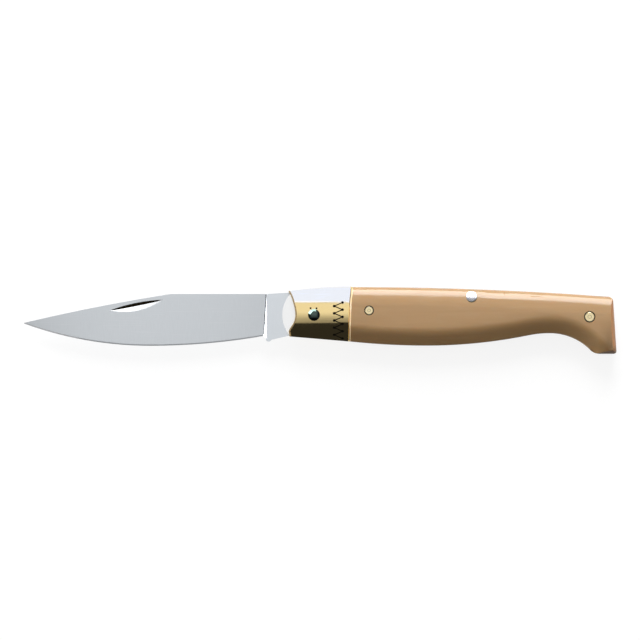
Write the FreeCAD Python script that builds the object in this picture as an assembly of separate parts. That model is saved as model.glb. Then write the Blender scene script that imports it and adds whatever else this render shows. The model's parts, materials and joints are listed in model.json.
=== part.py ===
import FreeCAD
import Part
import math
import os

from FreeCAD import Vector

# A slip-joint folding knife, open, lying on its right side. Lengths are millimetres.
# The pieces are drawn about the blade's pivot: X runs to the butt, Y to the back of the
# handle and Z to the left side, which carries the nail nick. At the end everything is
# shifted so that the origin is the middle of the knife's footprint.

# Layers, outward from the middle plane
blade_thickness = 2.4
bearing_rise = 0.05        # the tang's round bearing face stands proud of the ricasso
side_clearance = 0.05      # bearing face to liner
liner_thickness = 1.0
scale_thickness = 4.3      # liner to the flat land of the scale
bolster_thickness = 4.15   # liner to the bolster's crown at the scale
bolster_taper = 1.05       # thickness lost towards the blade
bolster_wall = 0.6         # upright wall of the bolster at the scale

# Handle in plan
horn_reach = 8.25          # pivot forward to the bolster's two horns
horn_top = 8.1
horn_bottom = 7.25
front_hollow = 2.55        # depth of the concave front between the horns
bolster_rear = 12.0        # pivot back to the joint of bolster and scale
bolster_proud = 0.15       # bolster above scale at the back
bolster_bottom = 8.95
back_height = 9.45
back_fall = 3.4            # the back drops this much from bolster to butt
handle_reach = 102.0       # pivot to the end of the toe
butt_lean = 1.25
toe_depth = 13.1
toe_length = 7.6
beak_length = 14.9         # hollow of the neck to the front of the toe
neck_depth = 6.15
neck_radius = 36.0         # hollow ahead of the beak
belly_reach = 38.0
belly_depth = 10.35
butt_round = 1.9           # upper corner of the butt
beak_round = 4.5           # front corner of the toe
toe_round = 1.0
end_crown = 1.3            # the scale's butt and toe lean in this far from liner to land
back_round = 8.0           # the scale rounds over this far in from the back
back_crown = 19.0          # radius of the inner part of that rounding
belly_round = 7.5          # the same along belly, neck and beak, where the hand closes
belly_crown = 10.0
scale_wall = 0.5           # upright wall left at the liner
land_depth = 0.08          # how far the crown is cut down to the flat land
bolster_bevel = 0.5        # along the concave front
bolster_break = 0.25       # broken edge of the bolster at the scale
seam_break = 0.5           # broken edge of the scale at the bolster

# Blade
blade_reach = 97.8
tip_drop = 2.9
tip_flat = 0.25
spine_height = 7.1
spine_swell = 0.8          # the spine rises towards the handle
clip_start = 48.3
clip_bulge = 0.5
sweep_reach = 55.3         # lowest point of the cutting edge
sweep_depth = 10.4
ricasso_reach = 16.0
heel_depth = 6.9
grind_step = 0.03          # the flat grind starts this far below the ricasso face
edge_shoulder = 0.24       # thickness where the edge bevel starts
edge_flat = 0.06
edge_bevel = 0.45

# Nail nick, cut by a tilted disc
nick_share = 0.257         # place of its middle along the clip
nick_below_clip = 1.62
nick_length = 18.2
nick_width = 1.75
nick_depth = 0.65
nick_wall = 36             # degrees, slope of its side towards the spine

# Tang and slip joint
fold_angle = 171.5         # degrees from open to shut
tang_flat = 5.2            # pivot to the two flats that the spring sits on
tang_cam = 5.8             # radius of the round between the flats
tang_shoulder = 3.0        # pivot forward to the stop for the spring's tip
bearing_radius = 10.7
kick_reach = 15.25
kick_depth = 8.05
kick_radius = 0.95
kick_web = 0.5
spring_gap = 0.05          # spring to tang, and to the kick when shut
spring_tip_gap = 0.1
spring_nose_round = 0.6
spring_depth = 4.9         # depth of the spring behind its pin
spring_pad = 8.0           # length of the thick part round its pin
spring_wall = 1.2          # metal under its pin
spring_tail_wall = 1.95    # metal under the tail pin
spring_tail_lead = 5.6     # start of the tail ahead of the tail pin
spring_tail_round = 1.0
spring_blend = 4.0

# Pins
pivot_radius = 1.5
pivot_head_radius = 2.0
pivot_head_seat = 0.35
pivot_dome = 0.46
spring_pin_reach = 53.0
spring_pin_below_back = 2.4
spring_pin_radius = 1.25
spring_head_radius = 1.75
spring_head_seat = 1.5     # liner to the seat of the spring pin's head
tail_pin_inset = 9.2       # from the end of the toe
tail_pin_below_back = 7.25
tail_pin_radius = 1.58
tail_ring_radius = 1.92    # shallow recess round the pin's end
scale_pin_setback = 6.55   # behind the bolster
scale_pin_below_back = 7.9
scale_pin_radius = 1.35
scale_ring_radius = 1.63
ring_depth = 0.35
pin_bevel = 0.12
pin_sink = 0.03            # the brass pins end this far below the land
pin_clearance = 0.02
running_clearance = 0.03

# Cuts run this far past what they cut, and points this close count as one
overrun = 5.0
touch = 0.001

blade_half = blade_thickness / 2
bearing_half = blade_half + bearing_rise
slot_half = bearing_half + side_clearance
liner_face = slot_half + liner_thickness
half_thickness = liner_face + scale_thickness
up = Vector(0, 0, 1)


def line(start, end):
    return Part.LineSegment(start, end).toShape()


def level_arc(level, end):
    """Arc that leaves its first point parallel to X and runs to the second."""
    run, rise = end.x - level.x, end.y - level.y
    half_turn = math.atan2(rise, abs(run))
    radius = (run ** 2 + rise ** 2) / (2 * abs(rise))
    chord = 2 * radius * math.sin(abs(half_turn) / 2)
    middle = level + Vector(math.copysign(chord, run) * math.cos(half_turn / 2),
                            chord * math.sin(half_turn / 2), 0)
    return Part.Arc(level, middle, end).toShape()


def bulged_arc(start, end, bulge):
    """Arc between two points that bulges to the left of the way from start to end."""
    chord = end - start
    left = Vector(-chord.y, chord.x, 0).normalize()
    return Part.Arc(start, (start + end) / 2 + left * bulge, end).toShape()


def loop(points):
    return [line(a, b) for a, b in zip(points, points[1:] + points[:1])]


def prism(edges, low, high):
    face = Part.Face(Part.Wire(Part.__sortEdges__(edges)))
    face.translate(up * low)
    return face.extrude(up * (high - low))


def mirrored(shape):
    return shape.mirror(Vector(), up)


def cylinder(place, radius, low, high):
    return Part.makeCylinder(radius, high - low, Vector(place.x, place.y, low), up)


def edges_over(solid, guide, level, extreme):
    """Edges of a solid over a plan curve whose lowest (min) or highest (max) mark is above a level."""
    found = []
    for edge in solid.Edges:
        first, last = edge.ParameterRange
        marks = [edge.valueAt(first + (last - first) * share) for share in (0, 0.5, 1)]
        over = all(guide.distToShape(Part.Vertex(mark.x, mark.y, 0))[0] < touch for mark in marks)
        if over and extreme(mark.z for mark in marks) > level + touch:
            found.append(edge)
    return found


def round_corners(solid, places, radius):
    """Round the upright edges of a prism that stand at the given places."""
    uprights = []
    for edge in solid.Edges:
        ends = [vertex.Point for vertex in edge.Vertexes]
        foot = Vector(ends[0].x, ends[0].y, 0)
        upright = len(ends) == 2 and (ends[1] - ends[0]).cross(up).Length < touch
        if upright and any((foot - place).Length < touch for place in places):
            uprights.append(edge)
    return solid.makeFillet(radius, uprights)


def round_butt(solid):
    for place, radius in butt_corners:
        solid = round_corners(solid, [place], radius)
    return solid


# Plan of the handle: every curve of it is level at one end
horn_upper = Vector(-horn_reach, horn_top, 0)
horn_lower = Vector(-horn_reach, -horn_bottom, 0)
joint_upper = Vector(bolster_rear, back_height, 0)
joint_lower = Vector(bolster_rear, -bolster_bottom, 0)
butt_upper = Vector(handle_reach - butt_lean, back_height - back_fall, 0)
toe_rear = Vector(handle_reach, -toe_depth, 0)
toe_front = Vector(handle_reach - toe_length, -toe_depth, 0)
neck_reach = toe_front.x - beak_length
neck = Vector(neck_reach, -neck_depth, 0)
belly = Vector(belly_reach, -belly_depth, 0)

# Belly and neck are two arcs that meet with one tangent
neck_run, neck_rise = neck_reach - belly_reach, belly_depth - neck_depth
belly_radius = (neck_run ** 2 + neck_rise ** 2) / (2 * neck_rise) - neck_radius
belly_middle = belly + Vector(0, belly_radius, 0)
neck_middle = neck - Vector(0, neck_radius, 0)
belly_share = belly_radius / (belly_radius + neck_radius)
waist = belly_middle + (neck_middle - belly_middle) * belly_share

back_edge = level_arc(joint_upper, butt_upper)
butt_edge = line(butt_upper, toe_rear)
toe_edge = line(toe_rear, toe_front)
belly_edges = [level_arc(belly, joint_lower), level_arc(belly, waist),
               level_arc(neck, waist), level_arc(neck, toe_front)]
joint_edge = line(joint_upper, joint_lower)
front_edge = bulged_arc(horn_upper, horn_lower, front_hollow)
throat_edge = line(joint_lower, horn_lower)
butt_corners = [(butt_upper, butt_round), (toe_rear, toe_round), (toe_front, beak_round)]

scale_plan = [back_edge, butt_edge, toe_edge, joint_edge] + belly_edges
liner_plan = [level_arc(joint_upper, horn_upper), back_edge, butt_edge, toe_edge,
              throat_edge, front_edge] + belly_edges
bolster_joint = joint_upper + Vector(0, bolster_proud, 0)
bolster_plan = [level_arc(bolster_joint, horn_upper), line(bolster_joint, joint_lower),
                throat_edge, front_edge]


def on_back(reach, below):
    """A place at a distance below the curved back."""
    radius = ((butt_upper.x - bolster_rear) ** 2 + back_fall ** 2) / (2 * back_fall)
    fall = radius - math.sqrt(radius ** 2 - (reach - bolster_rear) ** 2)
    return Vector(reach, back_height - fall - below, 0)


pivot = Vector()
spring_pin_place = on_back(spring_pin_reach, spring_pin_below_back)
tail_pin_place = on_back(handle_reach - tail_pin_inset, tail_pin_below_back)
scale_pin_place = on_back(bolster_rear + scale_pin_setback, scale_pin_below_back)
ring_floor = half_thickness - ring_depth
spring_seat = liner_face + spring_head_seat


back_section = back_round, back_crown
belly_section = belly_round, belly_crown


def roundover(guide, section, start_free, end_free):
    """Cutter that rolls the scale's edge over along one arc of its plan."""
    round_width, crown_radius = section
    middle, radius = guide.Curve.Center, guide.Curve.Radius
    start, end = (guide.valueAt(mark) - middle for mark in guide.ParameterRange)
    side = math.copysign(1, (Vector(neck_reach, 0, 0) - middle).Length - radius)
    top = half_thickness + land_depth
    drop = scale_thickness + land_depth - scale_wall
    rim_radius = ((crown_radius ** 2 - round_width ** 2 - (crown_radius - drop) ** 2)
                  / (2 * (crown_radius - round_width)))
    slope = math.asin((round_width - rim_radius) / (crown_radius - rim_radius))

    def rim(angle):
        return rim_radius * (1 - math.cos(angle)), top - drop + rim_radius * math.sin(angle)

    def crown(angle):
        return (round_width - crown_radius * math.sin(angle),
                top - crown_radius * (1 - math.cos(angle)))

    steep = math.pi / 2 - slope
    marks = [(-overrun, top - drop), rim(0), rim(steep / 2), rim(steep), crown(slope / 2),
             crown(0), (round_width, top + overrun), (-overrun, top + overrun)]
    turn = start.getAngle(end) * math.copysign(1, start.cross(end).z)
    spare = overrun / radius * math.copysign(1, turn)
    outward = start.normalize()
    points = [middle + outward * (radius + side * inset) + up * height for inset, height in marks]
    edges = [line(points[0], points[1]), Part.Arc(*points[1:4]).toShape(),
             Part.Arc(*points[3:6]).toShape()]
    edges += [line(a, b) for a, b in zip(points[5:], points[6:] + points[:1])]
    face = Part.Face(Part.Wire(edges))
    face.rotate(middle, up, math.degrees(-spare if start_free else 0))
    sweep = turn + spare * (start_free + end_free)
    return face.revolve(middle, up, math.degrees(sweep))


def end_roundover(guide):
    """Cutter that crowns the scale's end along one straight edge of its plan."""
    start, end = (guide.valueAt(mark) for mark in guide.ParameterRange)
    along = (end - start).normalize()
    inward = Vector(along.y, -along.x, 0)
    low, top = liner_face + scale_wall, half_thickness + land_depth
    radius = (end_crown ** 2 + (top - low) ** 2) / (2 * end_crown)
    lean = math.asin((top - low) / radius) / 2
    marks = [(-overrun, low), (0, low), (radius * (1 - math.cos(lean)), low + radius * math.sin(lean)),
             (end_crown, top), (end_crown, top + overrun), (-overrun, top + overrun)]
    points = [start - along * overrun + inward * inset + up * height for inset, height in marks]
    edges = [line(points[0], points[1]), Part.Arc(*points[1:4]).toShape()]
    edges += [line(a, b) for a, b in zip(points[3:], points[4:] + points[:1])]
    return Part.Face(Part.Wire(edges)).extrude(along * (guide.Length + 2 * overrun))


def scale():
    """The left scale: drilled, then rounded over along its edges round a flat land."""
    high = half_thickness + overrun
    drills = [
        cylinder(spring_pin_place, spring_pin_radius + pin_clearance, 0, high),
        cylinder(spring_pin_place, spring_head_radius + pin_clearance, spring_seat, high),
        cylinder(tail_pin_place, tail_pin_radius + pin_clearance, 0, high),
        cylinder(tail_pin_place, tail_ring_radius, ring_floor, high),
        cylinder(scale_pin_place, scale_pin_radius + pin_clearance, 0, high),
        cylinder(scale_pin_place, scale_ring_radius, ring_floor, high)]
    block = prism(scale_plan, liner_face, half_thickness)
    block = round_butt(block).cut(drills)
    front_belly, rear_belly, hollow, beak = belly_edges
    block = block.cut(roundover(back_edge, back_section, True, True))
    block = block.cut(roundover(front_belly, belly_section, False, True))
    block = block.cut(roundover(rear_belly, belly_section, False, False))
    block = block.cut(roundover(hollow, belly_section, False, False))
    block = block.cut(roundover(beak, belly_section, False, True))
    block = block.cut([end_roundover(butt_edge), end_roundover(toe_edge)]).removeSplitter()
    return block.makeChamfer(seam_break, edges_over(block, joint_edge, liner_face, max))


def liner():
    plate = round_butt(prism(liner_plan, slot_half, liner_face))
    holes = [(pivot, pivot_radius), (spring_pin_place, spring_pin_radius),
             (tail_pin_place, tail_pin_radius), (scale_pin_place, scale_pin_radius)]
    return plate.cut([cylinder(place, radius + pin_clearance, 0, half_thickness)
                      for place, radius in holes])


bolster_slope = bolster_taper / (bolster_rear + horn_reach)
pivot_crown = liner_face + bolster_thickness - bolster_slope * bolster_rear
pivot_seat = pivot_crown - pivot_head_seat


def bolster():
    """The left bolster: round in section, lower towards the blade, with a concave front."""
    block = prism(bolster_plan, liner_face, half_thickness + overrun)
    middle = (bolster_joint.y - bolster_bottom) / 2
    crown_rise = bolster_thickness - bolster_wall
    radius = ((bolster_joint.y - middle) ** 2 + crown_rise ** 2) / (2 * crown_rise)
    along = Vector(1, 0, bolster_slope)
    start = Vector(0, middle, pivot_crown - radius) - along * (horn_reach + overrun)
    run = along.Length * (bolster_rear + horn_reach + 2 * overrun)
    block = block.common(Part.makeCylinder(radius, run, start, along))
    block = block.makeChamfer(bolster_bevel, edges_over(block, front_edge, liner_face, min))
    block = block.makeChamfer(bolster_break, edges_over(block, joint_edge, liner_face, min))
    return block.cut([
        cylinder(pivot, pivot_radius + pin_clearance, 0, half_thickness),
        cylinder(pivot, pivot_head_radius + pin_clearance, pivot_seat, half_thickness + overrun)])


def both_sides(half):
    return half.fuse(mirrored(half)).removeSplitter()


def pivot_pin():
    """Pin with a domed head in each bolster, turned about its own axis."""
    profile = [Vector(), Vector(pivot_radius, 0, 0), Vector(pivot_radius, 0, pivot_seat),
               Vector(pivot_head_radius, 0, pivot_seat), Vector(pivot_head_radius, 0, pivot_crown)]
    top = Vector(0, 0, pivot_crown + pivot_dome)
    ball = (pivot_head_radius ** 2 + pivot_dome ** 2) / (2 * pivot_dome)
    lean = math.asin(pivot_head_radius / ball) / 2
    between = Vector(ball * math.sin(lean), 0, top.z - ball * (1 - math.cos(lean)))
    edges = [line(a, b) for a, b in zip(profile, profile[1:])]
    edges += [Part.Arc(profile[-1], between, top).toShape(), line(top, profile[0])]
    return both_sides(Part.Face(Part.Wire(edges)).revolve(pivot, up, 360))


def brass_pin(place, radius, low):
    """Straight pin that ends in a bevel just below the land of the left scale."""
    shoulder = half_thickness - pin_sink - pin_bevel
    tip = Part.makeCone(radius, radius - pin_bevel, pin_bevel, place + up * shoulder, up)
    return cylinder(place, radius, low, shoulder).fuse(tip)


def tail_pin():
    return both_sides(brass_pin(tail_pin_place, tail_pin_radius, 0))


def scale_pin():
    return brass_pin(scale_pin_place, scale_pin_radius, slot_half)


def spring_pin():
    """Pin whose heads are ground flush with the rounded scales."""
    shank = cylinder(spring_pin_place, spring_pin_radius, 0, spring_seat)
    head = cylinder(spring_pin_place, spring_head_radius, spring_seat, half_thickness)
    return both_sides(shank.fuse(head.cut(roundover(back_edge, back_section, True, True))))


def folded(place):
    turn = math.radians(fold_angle)
    return Vector(place.x * math.cos(turn) - place.y * math.sin(turn),
                  place.x * math.sin(turn) + place.y * math.cos(turn), 0)


kick_place = Vector(-kick_reach, -kick_depth, 0)
flat_run = math.sqrt(tang_cam ** 2 - tang_flat ** 2)


def back_spring():
    """Spring that fills the back of the slot; its nose holds the tang's flats."""
    nose_tip = Vector(spring_tip_gap - tang_shoulder, tang_flat + spring_gap, 0)
    nose_end = Vector(flat_run + spring_tip_gap, tang_flat + spring_gap, 0)
    to_kick = folded(kick_place) - nose_end
    rise = math.atan2(to_kick.y, to_kick.x) + math.asin((kick_radius + spring_gap) / to_kick.Length)
    arm = to_kick.Length + 2 * kick_radius
    arm_end = nose_end + Vector(math.cos(rise), math.sin(rise), 0) * arm
    pad_level = spring_pin_place.y - spring_pin_radius - spring_wall
    pad_front = Vector(spring_pin_reach - spring_pad / 2, pad_level, 0)
    pad_rear = Vector(spring_pin_reach + spring_pad / 2, pad_level, 0)
    tail_front = on_back(neck_reach, spring_depth)
    tail_level = tail_pin_place.y - tail_pin_radius - spring_tail_wall
    tail_corner = Vector(tail_pin_place.x - spring_tail_lead, tail_level, 0)
    far = handle_reach + overrun
    top = back_height + overrun
    inner = [nose_tip, nose_end, arm_end, pad_front, pad_rear, tail_front, tail_corner,
             Vector(far, tail_level, 0), Vector(far, top, 0), Vector(nose_tip.x, top, 0)]
    band = prism(loop(inner), -slot_half, slot_half)
    band = round_corners(band, [arm_end, pad_front, pad_rear, tail_front], spring_blend)
    band = round_corners(band, [tail_corner], spring_tail_round)
    whole = prism(liner_plan, -slot_half - overrun, slot_half + overrun)
    whole = round_corners(whole, [butt_upper], butt_round)
    spring = band.common(whole)
    nose_top = max((v.Point for v in spring.Vertexes if abs(v.X - nose_tip.x) < touch),
                   key=lambda point: point.y)
    spring = round_corners(spring, [Vector(nose_top.x, nose_top.y, 0)], spring_nose_round)
    return spring.cut([
        cylinder(spring_pin_place, spring_pin_radius + pin_clearance, -overrun, overrun),
        cylinder(tail_pin_place, tail_pin_radius + pin_clearance, -overrun, overrun)])


def ground_blade():
    """Flat-ground body: straight spine, curved edge, ruled flanks and a small edge bevel."""
    heel = Vector(-ricasso_reach, -heel_depth, 0)
    sweep = Vector(-sweep_reach, -sweep_depth, 0)
    tip = Vector(-blade_reach, -tip_drop, 0)
    levels = [(blade_half - grind_step, None), (edge_shoulder / 2, edge_bevel), (edge_flat / 2, 0)]
    faces = []
    for end in (heel, tip):
        rails = []
        for half, raised in levels + [(-half, raised) for half, raised in reversed(levels)]:
            if raised is None:
                rail = line(Vector(sweep.x, spine_height, half), Vector(end.x, spine_height, half))
            else:
                rail = level_arc(sweep, end).translated(Vector(0, raised, half))
            rails.append(rail)
        corners = [rail.valueAt(rail.LastParameter) for rail in rails]
        faces += [Part.makeRuledSurface(a, b) for a, b in zip(rails, rails[1:] + rails[:1])]
        faces.append(Part.Face(Part.makePolygon(corners + corners[:1])))
    shell = Part.makeShell(faces)
    shell.sewShape()
    body = Part.Solid(shell)
    if body.Volume < 0:
        body.reverse()
    return body


clip_back = Vector(-clip_start, spine_height, 0)
clip_end = Vector(-blade_reach, tip_flat - tip_drop, 0)


def above_clip():
    edges = [bulged_arc(clip_end, clip_back, clip_bulge)]
    top = spine_height + overrun
    far = -blade_reach - overrun
    rest = [clip_back, Vector(clip_back.x, top, 0), Vector(far, top, 0),
            Vector(far, clip_end.y, 0), clip_end]
    edges += [line(a, b) for a, b in zip(rest, rest[1:])]
    return prism(edges, -blade_thickness, blade_thickness)


def tang_plan():
    """Ricasso and tang in plan, with the two flats, the cam between them and the shoulder."""
    turn = math.radians(90 - fold_angle)
    out = Vector(math.cos(turn), math.sin(turn), 0)
    along = Vector(-out.y, out.x, 0)
    shut_rear = out * tang_flat + along * flat_run
    shut_front = out * tang_flat - along * flat_run
    open_rear = Vector(flat_run, tang_flat, 0)
    bisector = (out + Vector(0, 1, 0)).normalize()
    front = -ricasso_reach - blade_half
    rest = [shut_rear, shut_front, kick_place - Vector(0, kick_web, 0),
            Vector(front, -heel_depth, 0), Vector(front, spine_height, 0),
            Vector(-ricasso_reach, spine_height, 0),
            Vector(-tang_shoulder, spine_height + spine_swell, 0),
            Vector(-tang_shoulder, tang_flat, 0), open_rear]
    cam = Part.Arc(open_rear, bisector * tang_cam, shut_rear).toShape()
    return [cam] + [line(a, b) for a, b in zip(rest, rest[1:])]


def tang():
    """Ricasso, tang and kick, ending in a 45 degree plunge towards the flat grind."""
    block = prism(tang_plan(), -blade_thickness, blade_thickness)
    front = -ricasso_reach
    profile = [Vector(front - blade_half, 0, 0), Vector(front, 0, blade_half),
               Vector(tang_cam + overrun, 0, blade_half), Vector(tang_cam + overrun, 0, -blade_half),
               Vector(front, 0, -blade_half)]
    face = Part.Face(Part.Wire(loop(profile)))
    deep = Vector(0, sweep_depth + overrun, 0)
    face.translate(-deep)
    plate = block.common(face.extrude(deep * 2))
    bearing = block.common(cylinder(pivot, bearing_radius, -bearing_half, bearing_half))
    return plate.fuse([bearing, cylinder(kick_place, kick_radius, -blade_half, blade_half)])


def nail_nick():
    """Disc that cuts the nick: bevelled on the spine side, running out towards the edge."""
    along = (clip_end - clip_back).normalize()
    upward = Vector(along.y, -along.x, 0)
    middle = clip_back + (clip_end - clip_back) * nick_share - upward * nick_below_clip
    flank_slope = (blade_half - edge_shoulder / 2) / (spine_height + sweep_depth)
    surface = blade_half - flank_slope * (spine_height - middle.y)
    tilt = math.atan(nick_depth / nick_width - flank_slope)
    axis = up * math.sin(tilt) - upward * math.cos(tilt)
    outward = up * math.cos(tilt) + upward * math.sin(tilt)
    radius = (nick_length ** 2 / 4 + nick_depth ** 2) / (2 * nick_depth)
    base = middle + up * (surface - nick_depth) + outward * radius
    rise = math.tan(math.radians(nick_wall) + tilt)
    lead = 2 * nick_depth / rise
    bevel = Part.makeCone(radius - lead * rise, radius, lead, base - axis * lead, axis)
    return Part.makeCylinder(radius, 2 * nick_width, base, axis).fuse(bevel)


def blade():
    body = ground_blade().cut(above_clip()).fuse(tang())
    hole = cylinder(pivot, pivot_radius + running_clearance, -blade_thickness, blade_thickness)
    return body.cut([hole, nail_nick()]).removeSplitter()


left = {"liner": liner(), "bolster": bolster(), "scale": scale(), "scale_pin": scale_pin()}
nodes = {"blade": blade(), "back_spring": back_spring(), "pivot_pin": pivot_pin(),
         "spring_pin": spring_pin(), "tail_pin": tail_pin()}
for name, shape in left.items():
    nodes["left_" + name] = shape
    nodes["right_" + name] = mirrored(shape)

box = FreeCAD.BoundBox()
for shape in nodes.values():
    box.add(shape.optimalBoundingBox(False))
origin = Vector(box.Center.x, box.Center.y, box.ZMin)
print("size", box.XLength, box.YLength, box.ZLength)
print("pivot at", -origin.x, -origin.y, -origin.z)

os.makedirs("parts", exist_ok=True)
for name, shape in nodes.items():
    placed = shape.translated(-origin)
    print(name, placed.ShapeType, len(placed.Solids), placed.isValid(), round(placed.Volume, 3))
    placed.exportStep("parts/" + name + ".step")
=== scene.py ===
import json
import math

import bmesh
import bpy
from mathutils import Matrix, Vector
from mathutils.bvhtree import BVHTree


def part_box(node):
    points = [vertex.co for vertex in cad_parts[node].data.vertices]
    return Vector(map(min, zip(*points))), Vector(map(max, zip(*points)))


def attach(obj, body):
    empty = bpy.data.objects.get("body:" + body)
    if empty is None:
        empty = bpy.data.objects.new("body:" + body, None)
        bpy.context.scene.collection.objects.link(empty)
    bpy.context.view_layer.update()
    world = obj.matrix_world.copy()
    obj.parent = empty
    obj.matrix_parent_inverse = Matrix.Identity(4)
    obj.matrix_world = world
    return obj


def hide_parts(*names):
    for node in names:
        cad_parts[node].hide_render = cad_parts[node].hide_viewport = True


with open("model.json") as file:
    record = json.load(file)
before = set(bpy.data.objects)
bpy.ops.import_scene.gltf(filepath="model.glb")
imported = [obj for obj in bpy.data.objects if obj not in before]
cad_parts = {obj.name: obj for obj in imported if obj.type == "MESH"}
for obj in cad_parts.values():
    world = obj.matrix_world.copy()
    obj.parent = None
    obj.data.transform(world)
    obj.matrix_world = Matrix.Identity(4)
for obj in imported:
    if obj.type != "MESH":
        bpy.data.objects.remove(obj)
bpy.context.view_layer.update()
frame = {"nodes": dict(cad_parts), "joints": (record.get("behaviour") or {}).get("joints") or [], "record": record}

mm = 0.001    # in metres
nodes = frame["nodes"]
pivot = Vector(frame["joints"][0]["pos_m"])
scene = bpy.context.scene
scene.view_settings.view_transform = "Standard"
print("frame loaded:", len(nodes), "nodes, blade turns about", [round(c, 5) for c in pivot])


# Shader helpers
def addNode(tree, kind, sockets=None, **settings):
    node = tree.nodes.new("ShaderNode" + kind)
    for name, value in settings.items():
        setattr(node, name, value)
    for name, value in (sockets or {}).items():
        node.inputs[name].default_value = value
    return node


def mixColours(tree, factor, first, second):
    mix = addNode(tree, "Mix", data_type="RGBA")
    tree.links.new(factor, mix.inputs[0])
    for slot, colour in ((6, first), (7, second)):    # the colour sockets of a Mix node
        if isinstance(colour, tuple):
            mix.inputs[slot].default_value = (*colour, 1)
        else:
            tree.links.new(colour, mix.inputs[slot])
    return mix.outputs[2]


def remap(tree, value, low, high, start=0.0, end=1.0):
    node = addNode(tree, "MapRange", {"From Min": start, "From Max": end, "To Min": low, "To Max": high})
    tree.links.new(value, node.inputs["Value"])
    return node.outputs["Result"]


def combine(tree, operation, first, second=None):
    node = addNode(tree, "Math", operation=operation)
    tree.links.new(first, node.inputs[0])
    if isinstance(second, bpy.types.NodeSocket):
        tree.links.new(second, node.inputs[1])
    elif second is not None:
        node.inputs[1].default_value = second
    return node.outputs[0]


def splitPlace(tree, vector):
    place = addNode(tree, "SeparateXYZ")
    tree.links.new(vector, place.inputs["Vector"])
    return place.outputs


def stretched(tree, vector, scale, turn=0.0):
    place = addNode(tree, "Mapping", {"Rotation": (0, 0, turn), "Scale": scale})
    tree.links.new(vector, place.inputs["Vector"])
    return place.outputs["Vector"]


def addNoise(tree, vector, sockets):
    noise = addNode(tree, "TexNoise", sockets)
    tree.links.new(vector, noise.inputs["Vector"])
    return noise.outputs["Fac"]


def startGroup(name, inputs, outputs):
    group = bpy.data.node_groups.new(name, "ShaderNodeTree")
    for socketName, kind in inputs:
        group.interface.new_socket(name=socketName, in_out="INPUT", socket_type=kind)
    for socketName in outputs:
        group.interface.new_socket(name=socketName, in_out="OUTPUT", socket_type="NodeSocketFloat")
    return group, group.nodes.new("NodeGroupInput"), group.nodes.new("NodeGroupOutput")


def placeGroup(tree, group, vector, **values):
    node = addNode(tree, "Group", node_tree=group)
    tree.links.new(vector, node.inputs["Vector"])
    for name, value in values.items():
        node.inputs[name].default_value = value
    return node.outputs


grainLook = {"noise": {"Scale": 1.0, "Detail": 4.0, "Roughness": 0.7}, "middle": 0.5}


# Fine parallel lines left by an abrasive belt or a polishing wheel
def buildBrushGrain():
    group, enter, leave = startGroup(
        "brushGrain", [("Vector", "NodeSocketVector"), ("Softness", "NodeSocketFloat")], ["Grain"])
    fine = addNoise(group, enter.outputs["Vector"], grainLook["noise"])
    spread = addNode(group, "MapRange", {"To Min": 0.0, "To Max": 1.0})
    for operation, end in (("SUBTRACT", "From Min"), ("ADD", "From Max")):
        edge = addNode(group, "Math", {0: grainLook["middle"]}, operation=operation)
        group.links.new(enter.outputs["Softness"], edge.inputs[1])
        group.links.new(edge.outputs[0], spread.inputs[end])
    group.links.new(fine, spread.inputs["Value"])
    group.links.new(spread.outputs["Result"], leave.inputs["Grain"])
    return group


wearLook = {
    "smudge": {"Scale": 140.0, "Detail": 3.0, "Roughness": 0.55}, "smudgeRange": (0.3, 0.7),
    "hair": {"Scale": 1.0, "Detail": 1.0}, "hairRange": (0.66, 0.74),
    "hairSets": ((0.35, (60, 2600, 2600)), (-0.6, (45, 2100, 2100))),    # turn in radians, and stretch
}


# Handling marks: broad dull smudges and a few hairline scratches
def buildHandWear():
    group, enter, leave = startGroup(
        "handWear", [("Vector", "NodeSocketVector"), ("Scratches", "NodeSocketFloat")], ["Smudge", "Scratch"])
    vector = enter.outputs["Vector"]
    group.links.new(addNoise(group, vector, wearLook["smudge"]), leave.inputs["Smudge"])
    hairs = []
    for turn, stretch in wearLook["hairSets"]:
        hair = addNoise(group, stretched(group, vector, stretch, turn), wearLook["hair"])
        hairs.append(remap(group, hair, 0, 1, *wearLook["hairRange"]))
    both = combine(group, "MAXIMUM", *hairs)
    weak = combine(group, "MULTIPLY", both, enter.outputs["Scratches"])
    group.links.new(weak, leave.inputs["Scratch"])
    return group


brushGrain = buildBrushGrain()
handWear = buildHandWear()


def startMaterial(name):
    material = bpy.data.materials.new(name)
    material.use_nodes = True
    tree = material.node_tree
    coords = addNode(tree, "TexCoord")
    return material, tree, tree.nodes["Principled BSDF"], coords.outputs["Object"]


def addBump(tree, shader, height, strength, distance):
    bump = addNode(tree, "Bump", {"Strength": strength, "Distance": distance})
    tree.links.new(height, bump.inputs["Height"])
    tree.links.new(bump.outputs["Normal"], shader.inputs["Normal"])


def smudgedRough(tree, wear, look):
    return remap(tree, wear["Smudge"], look["roughLow"], look["roughHigh"], *wearLook["smudgeRange"])


def brushedTone(tree, vector, look):
    lines = stretched(tree, vector, look["lines"])
    grain = placeGroup(tree, brushGrain, lines, Softness=look["softness"])["Grain"]
    wear = placeGroup(tree, handWear, vector, Scratches=look["scratches"])
    colour = mixColours(tree, grain, look["dark"], look["light"])
    colour = mixColours(tree, wear["Scratch"], colour, look["scratchColour"])
    uneven = remap(tree, grain, -look["roughGrain"], look["roughGrain"])
    return grain, colour, combine(tree, "ADD", smudgedRough(tree, wear, look), uneven)


def metalFinish(name, look):
    material, tree, shader, vector = startMaterial(name)
    shader.inputs["Metallic"].default_value = look.get("metallic", 1.0)
    grain, colour, roughness = brushedTone(tree, vector, look)
    tree.links.new(colour, shader.inputs["Base Color"])
    tree.links.new(roughness, shader.inputs["Roughness"])
    addBump(tree, shader, grain, look["bump"], look["bumpDepth"])
    return material


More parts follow.
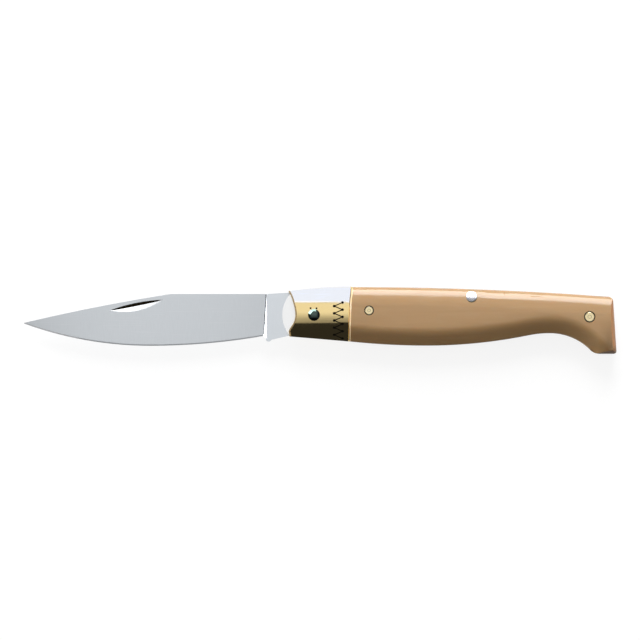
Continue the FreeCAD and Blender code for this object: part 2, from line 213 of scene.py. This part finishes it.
bladeLook = {
    "lines": (9000, 260, 260), "softness": 0.22, "scratches": 0.35,    # belt lines run from spine to edge
    "dark": (0.79, 0.83, 0.868), "light": (0.85, 0.89, 0.928), "scratchColour": (0.89, 0.92, 0.955),
    "roughLow": 0.39, "roughHigh": 0.43, "roughGrain": 0.02, "bump": 0.02, "bumpDepth": 0.01 * mm,
    "ricassoStart": -16.3 * mm, "ricassoTone": (0.4, 0.43, 0.47), "ricassoShare": 0.3,
    "bearingFace": 1.225 * mm, "bearingColour": (0.985, 0.99, 0.99), "bearingRough": 0.2,
}


def bladeFinish():
    material, tree, shader, vector = startMaterial("bladeSteel")
    shader.inputs["Metallic"].default_value = 1.0
    grain, colour, roughness = brushedTone(tree, vector, bladeLook)
    place = splitPlace(tree, vector)
    aside = combine(tree, "ABSOLUTE", combine(tree, "SUBTRACT", place["Z"], pivot.z))
    bearing = combine(tree, "GREATER_THAN", aside, bladeLook["bearingFace"])
    behind = combine(tree, "GREATER_THAN", place["X"], pivot.x + bladeLook["ricassoStart"])
    share = remap(tree, behind, 0, bladeLook["ricassoShare"])
    colour = mixColours(tree, share, colour, bladeLook["ricassoTone"])
    colour = mixColours(tree, bearing, colour, bladeLook["bearingColour"])
    tree.links.new(colour, shader.inputs["Base Color"])
    smooth = addNode(tree, "Mix", {"B": bladeLook["bearingRough"]})
    tree.links.new(bearing, smooth.inputs["Factor"])
    tree.links.new(roughness, smooth.inputs["A"])
    tree.links.new(smooth.outputs["Result"], shader.inputs["Roughness"])
    addBump(tree, shader, grain, bladeLook["bump"], bladeLook["bumpDepth"])
    return material


springLook = {
    "lines": (260, 5000, 9000), "softness": 0.22, "scratches": 0.3,    # drawn lengthwise
    "dark": (0.47, 0.475, 0.48), "light": (0.56, 0.565, 0.57), "scratchColour": (0.66, 0.67, 0.68),
    "roughLow": 0.3, "roughHigh": 0.38, "roughGrain": 0.03, "bump": 0.08, "bumpDepth": 0.02 * mm,
}
linerLook = {
    "lines": (300, 5000, 5000), "softness": 0.24, "scratches": 0.3,
    "dark": (0.62, 0.46, 0.21), "light": (0.74, 0.56, 0.27), "scratchColour": (0.85, 0.68, 0.36),
    "roughLow": 0.26, "roughHigh": 0.36, "roughGrain": 0.03, "bump": 0.06, "bumpDepth": 0.02 * mm,
}
bolsterLook = {
    "lines": (900, 4200, 4200), "softness": 0.3, "scratches": 0.25,    # buffed along the knife
    "dark": (0.84, 0.655, 0.31), "light": (0.89, 0.7, 0.345), "scratchColour": (0.93, 0.78, 0.46),
    "roughLow": 0.07, "roughHigh": 0.13, "roughGrain": 0.015, "bump": 0.02, "bumpDepth": 0.01 * mm,
}
bolsterEdgeReflectionLook = {    # filed, not buffed; its lighter, warmer, less metallic colour is a painted reflection of gold where the dark room would show
    **bolsterLook, "dark": (0.95, 0.63, 0.24), "light": (0.99, 0.68, 0.28), "metallic": 0.4,
    "roughLow": 0.5, "roughHigh": 0.6,
}
pinBrassLook = {
    "lines": (3000, 3000, 3000), "softness": 0.3, "scratches": 0.3,
    "dark": (0.86, 0.72, 0.42), "light": (0.93, 0.8, 0.5), "scratchColour": (0.96, 0.87, 0.62),
    "roughLow": 0.16, "roughHigh": 0.26, "roughGrain": 0.03, "bump": 0.1, "bumpDepth": 0.02 * mm,
}
pinSteelLook = {
    "lines": (3000, 3000, 3000), "softness": 0.3, "scratches": 0.3,
    "dark": (0.24, 0.24, 0.255), "light": (0.28, 0.28, 0.3), "scratchColour": (0.4, 0.4, 0.42),
    "roughLow": 0.1, "roughHigh": 0.16, "roughGrain": 0.02, "bump": 0.03, "bumpDepth": 0.01 * mm,
}
pivotDarkReflectionLook = {
    "lines": (2500, 2500, 2500), "softness": 0.3, "scratches": 0.25,    # nearly black: a painted dark reflection over the whole dome
    "dark": (0.05, 0.075, 0.068), "light": (0.085, 0.12, 0.108), "scratchColour": (0.2, 0.24, 0.22),
    "roughLow": 0.05, "roughHigh": 0.1, "roughGrain": 0.015, "bump": 0.03, "bumpDepth": 0.01 * mm,
}
nickLook = {
    "lines": (260, 5000, 5000), "softness": 0.25, "scratches": 0.2,    # milled lengthwise
    "dark": (0.7, 0.72, 0.74), "light": (0.78, 0.8, 0.82), "scratchColour": (0.84, 0.86, 0.87),
    "roughLow": 0.38, "roughHigh": 0.43, "roughGrain": 0.02, "bump": 0.02, "bumpDepth": 0.01 * mm,
}
honedLook = {
    "lines": (5000, 400, 400), "softness": 0.2, "scratches": 0.4,    # stone marks across the edge
    "dark": (0.58, 0.59, 0.61), "light": (0.64, 0.65, 0.67), "scratchColour": (0.68, 0.69, 0.71),
    "metallic": 0.2,
    "roughLow": 0.55, "roughHigh": 0.65, "roughGrain": 0.03, "bump": 0.05, "bumpDepth": 0.01 * mm,
}

hornLook = {
    "dark": (0.337, 0.207, 0.097), "light": (0.379, 0.236, 0.113), "cloud": (0.358, 0.211, 0.096),
    "glow": 0.25, "glowDepth": 1.6 * mm, "glowTint": (1.0, 0.45, 0.2),    # light passes a little way in
    "streaks": ((38, 420, 420), 5.0), "clouds": ((120, 260, 260), 2.0),    # stretch and detail of the noise
    "noise": {"Scale": 1.0, "Roughness": 0.6, "Distortion": 0.6},
    "toneRange": (0.32, 0.68), "cloudShare": 0.5,
    "scratches": 0.25, "scratchRough": 0.2, "roughLow": 0.1, "roughHigh": 0.17, "ior": 1.55, "gloss": 0.41,
    "bump": 0.02, "bumpDepth": 0.03 * mm, "dirtAndShade": (0.035, 0.028, 0.01), "dirtAndShadeEdge": 0.06 * mm,
    "dirtAndShadeRings": {    # width of the ring round each pin, and its offset
        "tail_pin": (0.33 * mm, (0, 0)), "left_scale_pin": (0.28 * mm, (0, 0)),
        # the spring pin's ring sits lower: a painted shadow crescent below its head
        "spring_pin": (0.08 * mm, (0.1 * mm, -0.25 * mm)),
    },
    "toeAlong": (95.5 * mm, 99 * mm), "toeDown": (-0.5 * mm, -10 * mm),    # from the pivot
    # painted shade at the toe's lower corner: its colour and how much of it
    "toe": (0.14, 0.078, 0.03), "toeShadeShare": 0.75,
}
hornEndLook = {    # sawn ends of butt and toe, duller than the rest
    **hornLook, "dark": (0.42, 0.21, 0.095), "light": (0.47, 0.235, 0.11), "cloud": (0.44, 0.215, 0.095),
    "gloss": 0.06, "roughLow": 0.35, "roughHigh": 0.45,
    # painted shade on the underside of the toe, darker towards its end
    "toeAlong": (90 * mm, 92 * mm), "toeDown": (-10.2 * mm, -12.4 * mm),
    "toe": (0.13, 0.07, 0.034), "toeShadeShare": 0.9,
}
hornEdgeHighlightLook = {    # the thin front edge at the bolster, painted much lighter: a painted highlight
    **hornLook, "dark": (0.76, 0.55, 0.31), "light": (0.84, 0.63, 0.37), "cloud": (0.8, 0.58, 0.33),
}


def pinPlace(pin):
    low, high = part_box(pin)
    return (low + high) / 2, (high.x - low.x) / 2


# Dirt and painted shade lie dark in the recess round each brass pin, and a painted shadow falls as a crescent
# below the spring pin's head
def dirtAndShadeMask(tree, vector):
    flat = addNode(tree, "VectorMath", {1: (1, 1, 0)}, operation="MULTIPLY")
    tree.links.new(vector, flat.inputs[0])
    mask = None
    for pin, (width, offset) in hornLook["dirtAndShadeRings"].items():
        middle, radius = pinPlace(pin)
        reach = radius + width
        centre = (middle.x + offset[0], middle.y + offset[1], 0)
        away = addNode(tree, "VectorMath", {1: centre}, operation="DISTANCE")
        tree.links.new(flat.outputs[0], away.inputs[0])
        ring = remap(tree, away.outputs["Value"], 1, 0, reach, reach + hornLook["dirtAndShadeEdge"])
        mask = combine(tree, "MAXIMUM", mask, ring) if mask else ring
    return mask


# Painted shade: the horn's colour darkens towards the lower corner of the toe, standing in for the shading where
# the surface curves away there
def toeShadeMask(tree, vector, look):
    place = splitPlace(tree, vector)
    start, end = (pivot.x + reach for reach in look["toeAlong"])
    top, foot = (pivot.y + reach for reach in look["toeDown"])
    along = remap(tree, place["X"], 0, 1, start, end)
    down = remap(tree, place["Y"], 0, look["toeShadeShare"], top, foot)
    return combine(tree, "MULTIPLY", along, down)


def hornFinish(name, look):
    material, tree, shader, vector = startMaterial(name)
    shader.inputs["IOR"].default_value = look["ior"]
    shader.inputs["Specular IOR Level"].default_value = look["gloss"]
    shader.inputs["Subsurface Weight"].default_value = look["glow"]
    shader.inputs["Subsurface Scale"].default_value = look["glowDepth"]
    shader.inputs["Subsurface Radius"].default_value = look["glowTint"]
    tones = []
    for stretch, detail in (look["streaks"], look["clouds"]):
        noise = addNoise(tree, stretched(tree, vector, stretch), {**look["noise"], "Detail": detail})
        tones.append(remap(tree, noise, 0, 1, *look["toneRange"]))
    streaks, clouds = tones
    colour = mixColours(tree, streaks, look["dark"], look["light"])
    colour = mixColours(tree, remap(tree, clouds, 0, look["cloudShare"]), colour, look["cloud"])
    colour = mixColours(tree, toeShadeMask(tree, vector, look), colour, look["toe"])
    colour = mixColours(tree, dirtAndShadeMask(tree, vector), colour, look["dirtAndShade"])
    tree.links.new(colour, shader.inputs["Base Color"])
    wear = placeGroup(tree, handWear, vector, Scratches=look["scratches"])
    scratched = remap(tree, wear["Scratch"], 0, look["scratchRough"])
    roughness = combine(tree, "ADD", smudgedRough(tree, wear, look), scratched)
    tree.links.new(roughness, shader.inputs["Roughness"])
    addBump(tree, shader, streaks, look["bump"], look["bumpDepth"])
    return material


tarnishAndShadeLook = {
    "dark": (0.008, 0.006, 0.003), "light": (0.03, 0.022, 0.011), "noise": {"Scale": 3000, "Detail": 3.0},
    "rough": (0.5, 0.75), "gloss": 0.05,
}


# Dark tarnish in the engraved zigzag, its punch marks and the dishes of the brass pins; the same dark colour on
# the nick's wall and in the line at the foot of the plunge is painted shade
def tarnishAndShadeFinish():
    material, tree, shader, vector = startMaterial("grooveTarnishAndShade")
    noise = addNoise(tree, vector, tarnishAndShadeLook["noise"])
    colour = mixColours(tree, noise, tarnishAndShadeLook["dark"], tarnishAndShadeLook["light"])
    tree.links.new(colour, shader.inputs["Base Color"])
    tree.links.new(remap(tree, noise, *tarnishAndShadeLook["rough"]), shader.inputs["Roughness"])
    shader.inputs["Specular IOR Level"].default_value = tarnishAndShadeLook["gloss"]
    return material


finishes = {    # by the record's slots, then those that only a few faces or the pivot have
    "blade_steel": bladeFinish(),
    "spring_steel": metalFinish("springSteel", springLook),
    "liner_brass": metalFinish("linerBrass", linerLook),
    "bolster_brass": metalFinish("bolsterBrass", bolsterLook),
    "horn_plastic": hornFinish("hornPlastic", hornLook),
    "pin_steel": metalFinish("pinSteel", pinSteelLook),
    "pin_brass": metalFinish("pinBrass", pinBrassLook),
    "tarnishAndShade": tarnishAndShadeFinish(),
    "pivotSteelDarkReflection": metalFinish("pivotSteelDarkReflection", pivotDarkReflectionLook),
    "nickSteel": metalFinish("nickSteel", nickLook),
    "honedSteel": metalFinish("honedSteel", honedLook),
    "hornEdgeHighlight": hornFinish("hornEdgeHighlight", hornEdgeHighlightLook),
    "hornEnd": hornFinish("hornEnd", hornEndLook),
    "bolsterEdgeReflection": metalFinish("bolsterEdgeReflection", bolsterEdgeReflectionLook),
}
print("finishes:", len(finishes))


# Pieces: each starts as the frame's own solid, welded
record = frame["record"]
slots = {part["node"]: part["material_slot"] for part in record["subparts"]}
bodyOf = {node: body for body, members in record["behaviour"]["bodies"].items() for node in members}
weld = 0.0005 * mm
castReach = 50 * mm    # rays start this far above or below the pivot, clear of every piece


def openSolid(node):
    bm = bmesh.new()
    bm.from_mesh(nodes[node].data)
    bmesh.ops.remove_doubles(bm, verts=bm.verts, dist=weld)
    for face in bm.faces:
        face.material_index = 0
    return bm


# A face's material index is its finish's place in finishNames
def newPiece(bm, name, finishNames=()):
    mesh = bpy.data.meshes.new(name)
    bm.to_mesh(mesh)
    bm.free()
    if "custom_normal" in mesh.attributes:
        mesh.attributes.remove(mesh.attributes["custom_normal"])
    for finish in finishNames:
        mesh.materials.append(finishes[finish])
    piece = bpy.data.objects.new(name, mesh)
    scene.collection.objects.link(piece)
    return piece


crisp = {"metal": 30, "horn": 32, "flats": 5, "flatNormal": 0.75}    # degrees, and a flat face's normal


# With flatAngle given, an edge between two faces that lie nearly flat is sharp from that angle up
def settle(piece, node, sharpAngle, flatAngle=None):
    bm = bmesh.new()
    bm.from_mesh(piece.data)
    for face in bm.faces:
        face.smooth = True
    for edge in bm.edges:
        flat = flatAngle and all(abs(face.normal.z) > crisp["flatNormal"] for face in edge.link_faces)
        edge.smooth = edge.calc_face_angle(math.pi) < math.radians(flatAngle if flat else sharpAngle)
    bm.to_mesh(piece.data)
    bm.free()
    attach(piece, bodyOf[node])
    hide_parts(node)


# A V-shaped cutter along a line, half of it above the surface
def addGroove(bm, first, last, normal, width):
    along = (last - first).normalized()
    across = along.cross(normal).normalized()
    turn = Matrix((across.cross(along), across, along)).transposed().to_4x4()
    bmesh.ops.create_cone(bm, cap_ends=True, segments=4, radius1=width / 2, radius2=width / 2,
                          depth=(last - first).length, matrix=Matrix.Translation((first + last) / 2) @ turn)


def dropOnto(tree, across, upward, side):
    start = Vector((pivot.x + across, pivot.y + upward, pivot.z + side * castReach))
    return tree.ray_cast(start, Vector((0, 0, -side)))[:2]    # the spot and its normal


def carve(piece, cutterMesh):
    bmesh.ops.recalc_face_normals(cutterMesh, faces=cutterMesh.faces)
    cutter = newPiece(cutterMesh, "cutter", ["tarnishAndShade"])
    cut = piece.modifiers.new("carving", "BOOLEAN")
    cut.operation = "DIFFERENCE"
    cut.solver = "EXACT"
    cut.use_self = True
    cut.material_mode = "TRANSFER"
    cut.object = cutter
    graph = bpy.context.evaluated_depsgraph_get()
    carved = bpy.data.meshes.new_from_object(piece.evaluated_get(graph), depsgraph=graph)
    piece.modifiers.clear()
    piece.data = carved
    bpy.data.objects.remove(cutter)


bladeFinishes = ["blade_steel", "nickSteel", "honedSteel", "tarnishAndShade"]
bladeCut = {    # from the pivot: a dark groove of painted shade at the foot of the plunge, and the nick's place
    "shadeLineTop": (-16.14 * mm, 6.9 * mm), "shadeLineFoot": (-16.9 * mm, -6.6 * mm), "lineWidth": 0.4 * mm,
    "nickLow": (-71 * mm, 0.5 * mm), "nickHigh": (-51 * mm, 6.9 * mm),
    "rampLean": 0.15, "wallLean": -0.3, "spineLean": 0.95,    # limits on normals towards the spine
    "wallSpread": 0.16 * mm, "honedSlopes": (0.95, 0.98),
}


# The nick's ramp is milled, its wall is painted dark as shade, and the honed edge is duller than the flanks
def sortBladeFaces(bm):
    low, high = (pivot.xy + Vector(bladeCut[corner]) for corner in ("nickLow", "nickHigh"))
    steepest, flattest = bladeCut["honedSlopes"]
    groundEnd = pivot.x + bladeCut["shadeLineTop"][0]
    for face in bm.faces:
        spot = face.calc_center_median()
        lean = face.normal.y
        inNick = low.x < spot.x < high.x and low.y < spot.y < high.y and spot.z > pivot.z
        if inNick and abs(lean) < bladeCut["spineLean"]:
            if lean < bladeCut["wallLean"]:
                face.material_index = bladeFinishes.index("tarnishAndShade")
            elif lean > bladeCut["rampLean"]:
                face.material_index = bladeFinishes.index("nickSteel")
        elif lean < 0 and spot.x < groundEnd and steepest < abs(face.normal.z) < flattest:
            face.material_index = bladeFinishes.index("honedSteel")


# The foot of the nick's wall slides down the ramp, so the wall leans more
def spreadNickWall(bm):
    rampIndex, wallIndex = bladeFinishes.index("nickSteel"), bladeFinishes.index("tarnishAndShade")
    foot = [v for v in bm.verts if {face.material_index for face in v.link_faces} == {rampIndex, wallIndex}]
    rampFaces = [face for v in foot for face in v.link_faces if face.material_index == rampIndex]
    ramp = max(rampFaces, key=lambda face: face.calc_area())
    along = ramp.normal.cross(Vector((1, 0, 0))).normalized()
    along *= -1 if along.y > 0 else 1
    bmesh.ops.translate(bm, verts=foot, vec=along * bladeCut["wallSpread"])


def buildBlade():
    bm = openSolid("blade")
    sortBladeFaces(bm)
    spreadNickWall(bm)
    tree = BVHTree.FromBMesh(bm)
    cutters = bmesh.new()
    # A dark V-groove along the foot of the plunge on each side: painted shade in the corner
    for side in (-1, 1):
        top = dropOnto(tree, *bladeCut["shadeLineTop"], side)[0]
        foot, normal = dropOnto(tree, *bladeCut["shadeLineFoot"], side)
        addGroove(cutters, top, foot, normal, bladeCut["lineWidth"])
    piece = newPiece(bm, "knifeBlade", bladeFinishes)
    carve(piece, cutters)
    settle(piece, "blade", crisp["metal"], crisp["flats"])
    print("blade:", len(piece.data.polygons), "faces")


# Straight runs between the marks of a table of (place, amount)
def readTable(table, place):
    place = min(max(place, table[0][0]), table[-1][0])
    for (start, low), (end, high) in zip(table, table[1:]):
        if place <= end:
            return low + (high - low) * (place - start) / (end - start)


hornPull = {    # what lies ahead of start moves forward; moves are (height, move) in mm
    "start": -4.6 * mm,
    "moves": [(-7.25, 0), (-5.6, -1.35), (-4.6, -1.45), (-3.4, -1.05), (-2.2, -0.7), (-1, -0.58), (0, -0.55),
              (4, -0.75), (8.2, -0.4)],
}


def slideAlong(verts, moves):
    for v in verts:
        v.co.x += readTable(moves, (v.co.y - pivot.y) / mm) * mm


def hornVerts(bm):
    return {v for v in bm.verts if v.co.x - pivot.x < hornPull["start"]}


layers = {"back_spring": "backSpring", "left_liner": "linerLeft", "right_liner": "linerRight"}
brokenEdge = {"width": 0.1 * mm, "segments": 2, "angle": 40}


def buildLayers():
    for node, name in layers.items():
        bm = openSolid(node)
        if "liner" in node:
            slideAlong(hornVerts(bm), hornPull["moves"])
        piece = newPiece(bm, name, [slots[node]])
        settle(piece, node, crisp["metal"])
        bevel = piece.modifiers.new("brokenEdges", "BEVEL")
        bevel.width = brokenEdge["width"]
        bevel.segments = brokenEdge["segments"]
        bevel.limit_method = "ANGLE"
        bevel.angle_limit = math.radians(brokenEdge["angle"])
        bevel.harden_normals = True
    print("layers:", len(layers))


brassPins = {"tail_pin": "tailRivet", "left_scale_pin": "frontPinLeft", "right_scale_pin": "frontPinRight"}
pinFinishes = ["pin_brass", "tarnishAndShade"]
pinDish = {"share": 0.42, "depth": 0.09 * mm, "endReach": 6 * mm, "endNormal": 0.99}


# Each brass pin has a punch mark in the middle of its end
def buildBrassPins():
    for node, name in brassPins.items():
        bm = openSolid(node)
        for side in (-1, 1):
            end = [face for face in bm.faces if face.normal.z * side > pinDish["endNormal"]
                   and (face.calc_center_median().z - pivot.z) * side > pinDish["endReach"]]
            if not end:
                continue
            along = [v.co.x for face in end for v in face.verts]
            radius = (max(along) - min(along)) / 2
            bmesh.ops.inset_region(bm, faces=end, thickness=radius * (1 - pinDish["share"]))
            wall = bmesh.ops.inset_region(bm, faces=end, thickness=pinDish["depth"], depth=-pinDish["depth"])
            for face in wall["faces"]:
                face.material_index = pinFinishes.index("tarnishAndShade")
        piece = newPiece(bm, name, pinFinishes)
        settle(piece, node, crisp["metal"])
    print("brass pins:", len(brassPins))


steelPins = {"pivot_pin": "pivotSteelDarkReflection", "spring_pin": "pin_steel"}


# The steel pins keep the frame's own turned shapes
def finishSteelPins():
    for node, finish in steelPins.items():
        for slot in nodes[node].material_slots:
            slot.material = finishes[finish]
    print("steel pins:", len(steelPins))


scalePieces = {"left_scale": ("scaleLeft", 1), "right_scale": ("scaleRight", -1)}
scaleFinishes = ["horn_plastic", "hornEdgeHighlight", "hornEnd"]
bellyRoll = {    # drops below the flat land in mm: as they come, and as worn nearer to a straight bevel
    "blend": 1 * mm, "pinRoom": 0.6 * mm,
    "drops": [(0, 0), (0.12, 0.06), (0.24, 0.17), (0.38, 0.34), (0.55, 0.58), (0.8, 0.96), (1.26, 1.61),
              (1.92, 2.34), (2.92, 3.17), (3.8, 3.8)],
}


def rollBelly(bm, node, side):
    low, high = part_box(node)
    land = high.z if side > 0 else low.z
    pin, radius = pinPlace("tail_pin")
    for v in bm.verts:
        share = min(max((pivot.y - v.co.y) / bellyRoll["blend"], 0), 1)
        drop = (land - v.co.z) * side / mm
        clear = (v.co - pin).xy.length > radius + bellyRoll["pinRoom"]
        if share and clear and drop < bellyRoll["drops"][-1][0]:
            v.co.z -= (readTable(bellyRoll["drops"], drop) - drop) * mm * side * share


joint = {    # where bolster and scale meet, leaning back towards the top; moves are (height, move) in mm
    "bolsterEnd": 11.7 * mm, "scaleEnd": 12.52 * mm, "chamfer": (-0.95, -0.2),
    "moves": [(-9.5, -0.2), (-3, -0.12), (1, 0), (3, 0.07), (5, 0.2), (8.2, 0.6)],
}
sawnEnds = {"butt": 97 * mm, "toe": -11.5 * mm, "toeStart": 91 * mm, "facing": 0.5}    # from the pivot


def buildScales():
    for node, (name, side) in scalePieces.items():
        bm = openSolid(node)
        rollBelly(bm, node, side)
        front = {v for v in bm.verts if v.co.x - pivot.x < joint["scaleEnd"]}
        steep, shallow = joint["chamfer"]
        for face in bm.faces:
            spot = face.calc_center_median() - pivot
            butt = spot.x > sawnEnds["butt"] and face.normal.x > sawnEnds["facing"]
            underToe = spot.y < sawnEnds["toe"] and spot.x > sawnEnds["toeStart"]
            if butt or (underToe and face.normal.y < -sawnEnds["facing"]):
                face.material_index = scaleFinishes.index("hornEnd")
            # The front chamfer by the bolster takes the painted highlight
            elif front.issuperset(face.verts) and steep < face.normal.x < shallow:
                face.material_index = scaleFinishes.index("hornEdgeHighlight")
        slideAlong(front, joint["moves"])
        piece = newPiece(bm, name, scaleFinishes)
        settle(piece, node, crisp["horn"])
    print("scales:", len(scalePieces))


bolsterPieces = {"left_bolster": ("bolsterLeft", 1), "right_bolster": ("bolsterRight", -1)}
bolsterFinishes = ["bolster_brass", "bolsterEdgeReflection"]
zigzag = {    # from the pivot
    "near": 6.8 * mm, "far": 9.6 * mm, "top": 4.2 * mm, "step": 1.21 * mm, "corners": 11,
    "lineWidth": 0.38 * mm, "dotRadius": 0.5 * mm, "dotLift": 0.14 * mm, "dotSegments": (16, 8),
    "punchMarks": ((-1.15 * mm, 2.3 * mm), (0.85 * mm, 2.25 * mm)), "punchRadius": 0.36 * mm,
}


# Engraved zigzag: V-shaped lines with a punched dot at each corner, and two punch marks by the pivot
def buildZigzag(bolster, side):
    tree = BVHTree.FromBMesh(bolster)
    marks = []
    for corner in range(zigzag["corners"]):
        across = zigzag["near"] if corner % 2 else zigzag["far"]
        marks.append(dropOnto(tree, across, zigzag["top"] - corner * zigzag["step"], side))
    cutters = bmesh.new()
    for (first, firstNormal), (last, lastNormal) in zip(marks, marks[1:]):
        addGroove(cutters, first, last, firstNormal + lastNormal, zigzag["lineWidth"])
    dots = [(spot, normal, zigzag["dotRadius"]) for spot, normal in marks]
    dots += [(*dropOnto(tree, *place, side), zigzag["punchRadius"]) for place in zigzag["punchMarks"]]
    around, upward = zigzag["dotSegments"]
    for spot, normal, radius in dots:
        bmesh.ops.create_uvsphere(cutters, u_segments=around, v_segments=upward, radius=radius,
                                  matrix=Matrix.Translation(spot + normal * zigzag["dotLift"]))
    return cutters


frontBevel = {"flat": 0.5, "forward": -0.2}    # limits on the normals of its faces


# The bevel of the concave front is filed and takes a painted reflection, and shades as if it were rounded
def roundFront(piece):
    bm = bmesh.new()
    bm.from_mesh(piece.data)
    ahead = hornVerts(bm)
    sloping = {face for face in bm.faces if abs(face.normal.z) > frontBevel["flat"]}
    for edge in bm.edges:
        if ahead.issuperset(edge.verts) and sloping.issuperset(edge.link_faces):
            edge.smooth = True
    for face in sloping:
        if ahead.issuperset(face.verts) and face.normal.x < frontBevel["forward"]:
            face.material_index = bolsterFinishes.index("bolsterEdgeReflection")
    bm.to_mesh(piece.data)
    bm.free()
    rounded = piece.modifiers.new("roundedFront", "WEIGHTED_NORMAL")
    rounded.keep_sharp = True


def buildBolsters():
    for node, (name, side) in bolsterPieces.items():
        bm = openSolid(node)
        slideAlong(hornVerts(bm), hornPull["moves"])
        slideAlong([v for v in bm.verts if v.co.x - pivot.x > joint["bolsterEnd"]], joint["moves"])
        cutters = buildZigzag(bm, side)
        piece = newPiece(bm, name, bolsterFinishes)
        carve(piece, cutters)
        settle(piece, node, crisp["metal"])
        roundFront(piece)
        print("bolster:", name, len(piece.data.polygons), "faces")


buildBlade()
buildLayers()
buildBrassPins()
finishSteelPins()
buildScales()
buildBolsters()


# Stage: pale floor, soft boxes, and a room that is dark in front and brightest just behind overhead
floorLook = {
    "reach": 4.0, "drop": 0.05 * mm, "bounce": (0.42, 0.38, 0.35), "shaded": (0.16, 0.16, 0.16), "glow": 0.86,
}


def buildFloor():
    bm = bmesh.new()
    bmesh.ops.create_grid(bm, x_segments=1, y_segments=1, size=floorLook["reach"])
    bmesh.ops.translate(bm, verts=bm.verts, vec=(0, 0, -floorLook["drop"]))
    floor = newPiece(bm, "floor")
    material, tree, shader = startMaterial("paleFloor")[:3]
    shader.inputs["Base Color"].default_value = (*floorLook["bounce"], 1)
    shader.inputs["Roughness"].default_value = 1.0
    shader.inputs["Specular IOR Level"].default_value = 0.0
    path = addNode(tree, "LightPath")
    seen = path.outputs["Is Camera Ray"]
    for ray in ("Is Glossy Ray", "Is Transmission Ray"):
        seen = combine(tree, "MAXIMUM", seen, path.outputs[ray])
    shaded = addNode(tree, "BsdfDiffuse", {"Color": (*floorLook["shaded"], 1)})
    glow = addNode(tree, "Emission", {"Color": (1, 1, 1, 1), "Strength": floorLook["glow"]})
    pale = addNode(tree, "AddShader")
    tree.links.new(shaded.outputs[0], pale.inputs[0])
    tree.links.new(glow.outputs[0], pale.inputs[1])
    pick = addNode(tree, "MixShader")
    tree.links.new(seen, pick.inputs[0])
    tree.links.new(shader.outputs[0], pick.inputs[1])
    tree.links.new(pale.outputs[0], pick.inputs[2])
    tree.links.new(pick.outputs[0], tree.nodes["Material Output"].inputs["Surface"])
    floor.data.materials.append(material)


roomLook = [    # direction towards the back of the knife, brightness
    (-1.0, 0.03), (-0.385, 0.03), (-0.365, 0.32), (-0.19, 0.52), (0.0, 0.88), (0.1, 1.0), (0.5, 1.0),
    (0.6, 0.3), (1.0, 0.3),
]
roomSides = {"fade": (0.3, 0.6), "colour": (0.1, 0.1, 0.1)}    # towards the tip and the butt


def buildRoom():
    world = bpy.data.worlds.new("room")
    world.use_nodes = True
    scene.world = world
    tree = world.node_tree
    coords = addNode(tree, "TexCoord")
    place = splitPlace(tree, coords.outputs["Generated"])
    ramp = addNode(tree, "ValToRGB")
    stops = ramp.color_ramp.elements
    while len(stops) < len(roomLook):
        stops.new(0.5)
    for stop, (towards, level) in zip(stops, roomLook):
        stop.position = (towards + 1) / 2
        stop.color = (level, level, level, 1)
    tree.links.new(remap(tree, place["Y"], 0, 1, -1, 1), ramp.inputs["Fac"])
    aside = remap(tree, combine(tree, "ABSOLUTE", place["X"]), 0, 1, *roomSides["fade"])
    dimmed = mixColours(tree, aside, ramp.outputs["Color"], roomSides["colour"])
    tree.links.new(dimmed, tree.nodes["Background"].inputs["Color"])


brass = ("bolsterLeft", "bolsterRight")
blade = ("knifeBlade",)
pivotPin = (nodes["pivot_pin"].name,)
softBoxes = {    # the metals have boxes of their own, weak enough not to clip to white
    "backBox": {"tilt": 62, "turn": 0, "distance": 1.0, "size": (0.6, 1.1), "power": 20.5,
                "spares": brass + blade},
    "tipBox": {"tilt": 86, "turn": 90, "distance": 1.0, "size": (0.5, 0.5), "power": 7, "spares": brass},
    "buttBox": {"tilt": 84, "turn": -90, "distance": 1.0, "size": (0.5, 0.5), "power": 3.5, "spares": brass},
    "pivotBox": {"tilt": 45, "turn": 50, "distance": 1.0, "size": (0.6, 0.6), "power": 15, "lights": pivotPin},
    "steelBox": {"tilt": 32, "turn": 0, "distance": 1.0, "size": (0.7, 0.6), "power": 3.5, "lights": blade},
    "brassBox": {"tilt": 62, "turn": 0, "distance": 0.9, "size": (0.6, 1.0), "power": 4.9, "lights": brass,
                 "tint": (0.262, 0.383, 1.0)},
}


# tilt is off the zenith, turn is from the knife's back towards its tip
def buildLights():
    for name, look in softBoxes.items():
        lamp = bpy.data.lights.new(name, "AREA")
        lamp.shape = "RECTANGLE"
        lamp.size, lamp.size_y = look["size"]
        lamp.energy = look["power"]
        lamp.color = look.get("tint", (1, 1, 1))
        box = bpy.data.objects.new(name, lamp)
        turn = Matrix.Rotation(math.radians(look["turn"]), 4, "Z")
        tilt = Matrix.Rotation(math.radians(-look["tilt"]), 4, "X")
        box.matrix_world = turn @ tilt @ Matrix.Translation((0, 0, look["distance"]))
        scene.collection.objects.link(box)
        targets = bpy.data.collections.new(name + "Targets")
        for piece in look.get("lights") or look["spares"]:
            targets.objects.link(bpy.data.objects[piece])
        for entry in targets.collection_objects:
            entry.light_linking.link_state = "INCLUDE" if "lights" in look else "EXCLUDE"
        box.light_linking.receiver_collection = targets


viewLook = {"frame": 640, "mmPerPixel": 0.3373, "pivotPixel": (314, 315), "distance": 3.0, "sensor": 36.0}


def buildCamera():
    middle = viewLook["frame"] / 2
    perPixel = viewLook["mmPerPixel"] * mm
    camera = bpy.data.cameras.new("overhead")
    camera.sensor_width = viewLook["sensor"]
    camera.lens = viewLook["sensor"] * viewLook["distance"] / (viewLook["frame"] * perPixel)
    holder = bpy.data.objects.new("overhead", camera)
    across = (middle - viewLook["pivotPixel"][0]) * perPixel
    upward = (viewLook["pivotPixel"][1] - middle) * perPixel
    holder.location = pivot + Vector((across, upward, viewLook["distance"]))
    scene.collection.objects.link(holder)
    scene.camera = holder


buildFloor()
buildRoom()
buildLights()
buildCamera()
print("stage ready")
